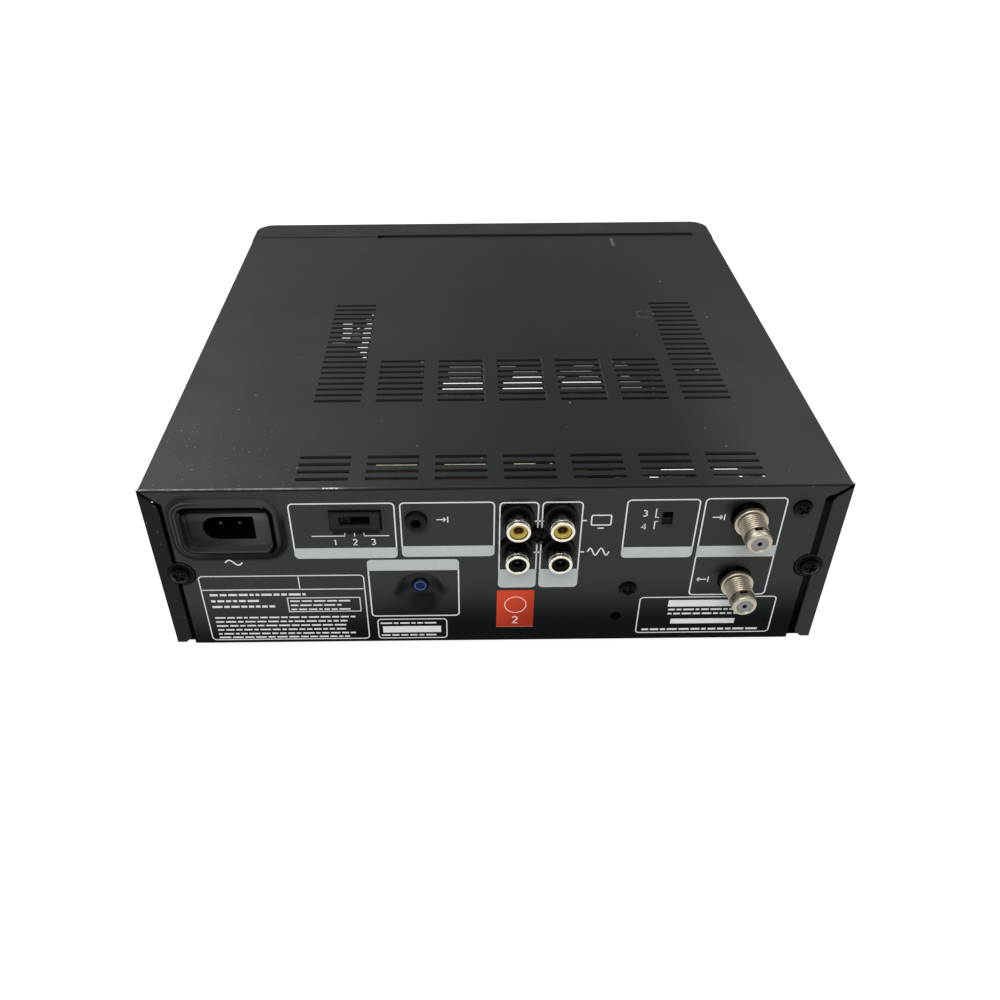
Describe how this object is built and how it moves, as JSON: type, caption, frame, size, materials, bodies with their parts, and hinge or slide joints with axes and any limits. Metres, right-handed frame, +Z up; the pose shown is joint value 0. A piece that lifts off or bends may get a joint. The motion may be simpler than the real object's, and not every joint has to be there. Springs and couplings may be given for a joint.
{
  "type": "video cassette recorder",
  "caption": "Compact eight-millimetre video cassette recorder: louvred steel cover, socket panel, front loading flap with keys, and a working tape mechanism inside.",
  "frame": {"origin": "centre of the whole bounding box in plan, on the floor under the feet", "axes": "front with the cassette flap faces -Y, rear sockets face +Y, +Z up"},
  "size_m": [0.2524, 0.2694, 0.0813],
  "materials": {
    "cover_paint": "satin dark grey-black enamel, fine speckle, scratches and rubbed edges",
    "panel_paint": "satin dark grey enamel with pale printed frames",
    "bezel_plastic": "dark grey moulded ABS, fine grain",
    "key_plastic": "dark grey moulded key",
    "black_plastic": "black moulded plastic",
    "smoked_window": "dark smoked acrylic",
    "zinc_steel": "zinc plated sheet steel",
    "nickel": "nickel plated, slightly dull",
    "alloy": "turned aluminium alloy",
    "black_screw": "black oxide steel screw",
    "rubber": "black rubber",
    "resin": "off-white acetal resin",
    "board_green": "green glass-epoxy circuit board",
    "board_tan": "tan phenolic circuit board",
    "motor_case": "plated motor case and transformer laminations",
    "blue_jack": "blue collar in a black jack body"
  },
  "bodies": {
    "machine": {"top_cover": "cover_paint", "rear_panel": "panel_paint", "base_pan": "zinc_steel", "front_bezel": "bezel_plastic", "display_window": "smoked_window", "foot_front_left": "rubber", "foot_front_right": "rubber", "foot_rear_left": "rubber", "foot_rear_right": "rubber", "ac_inlet": "black_plastic", "mode_switch": "black_plastic", "control_s_jack": "black_plastic", "control_l_jack": "blue_jack", "phono_block": "black_plastic", "audio_in_shell": "nickel", "video_in_shell": "nickel", "audio_out_shell": "nickel", "video_out_shell": "nickel", "tuner_can": "zinc_steel", "antenna_in_connector": "nickel", "antenna_out_connector": "nickel", "cover_screw_left": "black_screw", "cover_screw_right": "black_screw", "panel_screw_right": "black_screw", "panel_screw_low": "black_screw", "socket_screw": "black_screw", "mech_chassis": "zinc_steel", "carriage_frame": "zinc_steel", "lower_drum": "alloy", "loading_motor": "motor_case", "main_board": "board_green", "power_board": "board_tan", "power_transformer": "motor_case", "jack_board": "board_tan", "signal_shield": "zinc_steel", "front_board": "board_green"},
    "mode_slider": {"mode_slider": "black_plastic"},
    "channel_slider": {"channel_slider": "black_plastic"},
    "cassette_flap": {"cassette_flap": "bezel_plastic"},
    "carriage_slider": {"carriage_slider": "zinc_steel"},
    "cassette_holder": {"cassette_holder": "zinc_steel"},
    "upper_drum": {"upper_drum": "alloy"},
    "capstan_flywheel": {"capstan_flywheel": "alloy"},
    "pinch_arm": {"pinch_arm": "zinc_steel"},
    "pinch_roller": {"pinch_roller": "rubber"},
    "supply_reel": {"supply_reel": "resin"},
    "takeup_reel": {"takeup_reel": "resin"},
    "idler_wheel": {"idler_wheel": "resin"},
    "supply_guide": {"supply_guide": "alloy"},
    "takeup_guide": {"takeup_guide": "alloy"},
    "motor_pinion": {"motor_pinion": "resin"},
    "loading_gear": {"loading_gear": "resin"},
    "rewind_key": {"rewind_key": "key_plastic"},
    "play_key": {"play_key": "key_plastic"},
    "forward_key": {"forward_key": "key_plastic"},
    "stop_key": {"stop_key": "key_plastic"},
    "pause_key": {"pause_key": "key_plastic"},
    "record_key": {"record_key": "key_plastic"},
    "power_button": {"power_button": "key_plastic"},
    "eject_button": {"eject_button": "key_plastic"}
  },
  "joints": [
    {"name": "mode_select", "type": "slide", "parent": "machine", "child": "mode_slider", "axis": [-1, 0, 0], "range_m": [0, 0.0069]},
    {"name": "channel_select", "type": "slide", "parent": "machine", "child": "channel_slider", "axis": [0, 0, 1], "range_m": [0, 0.0027]},
    {"name": "flap_hinge", "type": "hinge", "parent": "machine", "child": "cassette_flap", "pos_m": [-0.0125, -0.13055, 0.0662], "axis": [1, 0, 0], "range_deg": [0, 85], "stiffness_Nm_per_rad": 0.002},
    {"name": "carriage_run", "type": "slide", "parent": "machine", "child": "carriage_slider", "axis": [0, 1, 0], "range_m": [0, 0.0165]},
    {"name": "holder_drop", "type": "slide", "parent": "carriage_slider", "child": "cassette_holder", "axis": [0, 0, -1], "range_m": [0, 0.011]},
    {"name": "drum_spin", "type": "hinge", "parent": "machine", "child": "upper_drum", "pos_m": [-0.0125, -0.00465, 0.04], "axis": [0, -0.0872, 0.9962], "continuous": true},
    {"name": "capstan_spin", "type": "hinge", "parent": "machine", "child": "capstan_flywheel", "pos_m": [-0.0455, -0.02065, 0.03], "axis": [0, 0, 1], "continuous": true},
    {"name": "pinch_swing", "type": "hinge", "parent": "machine", "child": "pinch_arm", "pos_m": [-0.0625, 0.00435, 0.033], "axis": [0, 0, 1], "range_deg": [0, 24]},
    {"name": "pinch_roller_spin", "type": "hinge", "parent": "pinch_arm", "child": "pinch_roller", "pos_m": [-0.06034, -0.01884, 0.0435], "axis": [0, 0, 1], "continuous": true},
    {"name": "supply_spin", "type": "hinge", "parent": "machine", "child": "supply_reel", "pos_m": [0.0105, -0.06365, 0.033], "axis": [0, 0, 1], "continuous": true},
    {"name": "takeup_spin", "type": "hinge", "parent": "machine", "child": "takeup_reel", "pos_m": [-0.0355, -0.06365, 0.033], "axis": [0, 0, 1], "continuous": true},
    {"name": "idler_swing", "type": "hinge", "parent": "machine", "child": "idler_wheel", "pos_m": [-0.0125, -0.08865, 0.033], "axis": [0, 0, 1], "range_deg": [-11, 11]},
    {"name": "loading_turn", "type": "hinge", "parent": "machine", "child": "loading_gear", "pos_m": [0.046, -0.03165, 0.028], "axis": [0, 0, 1], "range_deg": [0, 120]},
    {"name": "pinion_turn", "type": "hinge", "parent": "machine", "child": "motor_pinion", "pos_m": [0.0655, -0.03165, 0.028], "axis": [0, 0, 1], "range_deg": [-360, 0]},
    {"name": "supply_guide_run", "type": "slide", "parent": "machine", "child": "supply_guide", "axis": [0.3379, 0.9412, 0], "range_m": [0, 0.0415]},
    {"name": "takeup_guide_run", "type": "slide", "parent": "machine", "child": "takeup_guide", "axis": [-0.3379, 0.9412, 0], "range_m": [0, 0.0415]},
    {"name": "rewind_press", "type": "slide", "parent": "machine", "child": "rewind_key", "axis": [0, 1, 0], "range_m": [0, 0.0008], "stiffness_N_per_m": 300},
    {"name": "play_press", "type": "slide", "parent": "machine", "child": "play_key", "axis": [0, 1, 0], "range_m": [0, 0.0008], "stiffness_N_per_m": 300},
    {"name": "forward_press", "type": "slide", "parent": "machine", "child": "forward_key", "axis": [0, 1, 0], "range_m": [0, 0.0008], "stiffness_N_per_m": 300},
    {"name": "stop_press", "type": "slide", "parent": "machine", "child": "stop_key", "axis": [0, 1, 0], "range_m": [0, 0.0008], "stiffness_N_per_m": 300},
    {"name": "pause_press", "type": "slide", "parent": "machine", "child": "pause_key", "axis": [0, 1, 0], "range_m": [0, 0.0008], "stiffness_N_per_m": 300},
    {"name": "record_press", "type": "slide", "parent": "machine", "child": "record_key", "axis": [0, 1, 0], "range_m": [0, 0.0008], "stiffness_N_per_m": 300},
    {"name": "power_press", "type": "slide", "parent": "machine", "child": "power_button", "axis": [0, 1, 0], "range_m": [0, 0.0008], "stiffness_N_per_m": 300},
    {"name": "eject_press", "type": "slide", "parent": "machine", "child": "eject_button", "axis": [0, 1, 0], "range_m": [0, 0.0008], "stiffness_N_per_m": 300}
  ],
  "couplings": [
    {"joint": "pinion_turn", "follows": "loading_turn", "ratio": -3},
    {"joint": "supply_guide_run", "follows": "loading_turn", "m_per_rad": 0.019767},
    {"joint": "takeup_guide_run", "follows": "loading_turn", "m_per_rad": 0.019767}
  ]
}
